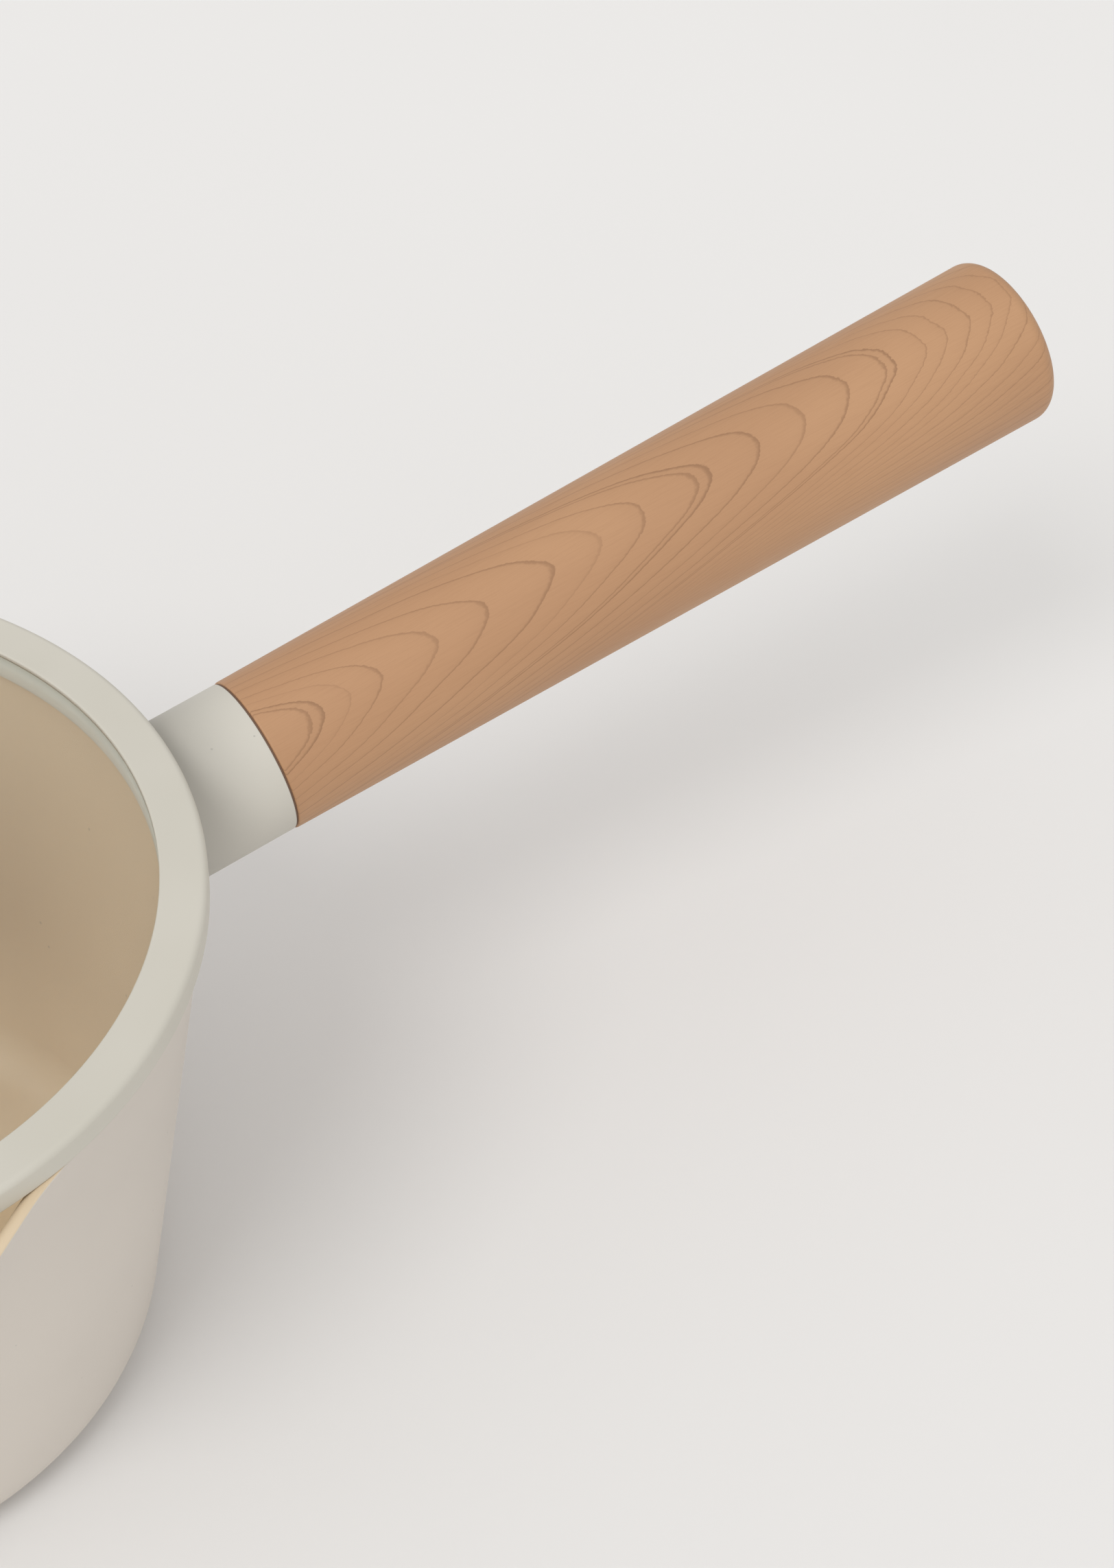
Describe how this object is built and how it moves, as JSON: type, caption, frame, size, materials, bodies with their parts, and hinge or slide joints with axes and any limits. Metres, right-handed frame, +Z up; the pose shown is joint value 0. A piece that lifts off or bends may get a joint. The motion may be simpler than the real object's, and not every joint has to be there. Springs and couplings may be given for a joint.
{
  "type": "saucepan with glass lid",
  "caption": "Tapered saucepan with pouring spouts, an upward-tilted round wood-look handle and a lift-off clear glass lid in a broad silicone rim.",
  "frame": {"origin": "centre of the base, on the resting plane", "axes": "+Z up along the pan's axis, +X towards the free end of the handle, spouts along -Y and +Y"},
  "size_m": [0.3649, 0.193, 0.141],
  "materials": {
    "pan_coated": "matt off-white ceramic coat outside, cream coat inside",
    "collar_coated": "matt off-white coat, faint speckle",
    "base_steel": "circular brushed, perforated",
    "fixing_steel": "zinc bright",
    "seam_dark": "matt dark brown",
    "grip_wood": "pale brown wood grain, satin",
    "plug_wood": "end grain, satin",
    "rim_silicone": "matt off-white silicone",
    "gasket_silicone": "translucent white silicone",
    "lid_glass": "clear toughened glass",
    "knob_base_plastic": "matt off-white",
    "knob_wood": "pale brown wood grain, satin",
    "insert_brass": "turned brass"
  },
  "bodies": {
    "pan": {"pan_body": "pan_coated", "induction_disc": "base_steel", "boss_insert": "fixing_steel", "handle_collar": "collar_coated", "seam_gasket": "seam_dark", "locating_pins": "fixing_steel", "grip": "grip_wood", "tie_screw": "fixing_steel", "tie_washer": "fixing_steel", "tie_lock_washer": "fixing_steel", "end_plug": "plug_wood"},
    "lid": {"lid_rim": "rim_silicone", "lid_glass": "lid_glass", "knob_gasket": "gasket_silicone", "knob_base": "knob_base_plastic", "knob": "knob_wood", "knob_insert": "insert_brass", "glass_grommet": "gasket_silicone", "knob_washer": "fixing_steel", "knob_lock_washer": "fixing_steel", "knob_screw": "fixing_steel"}
  },
  "joints": [
    {"name": "lid_lift", "type": "slide", "parent": "pan", "child": "lid", "axis": [0, 0, 1], "range_m": [0, 0.15]}
  ]
}
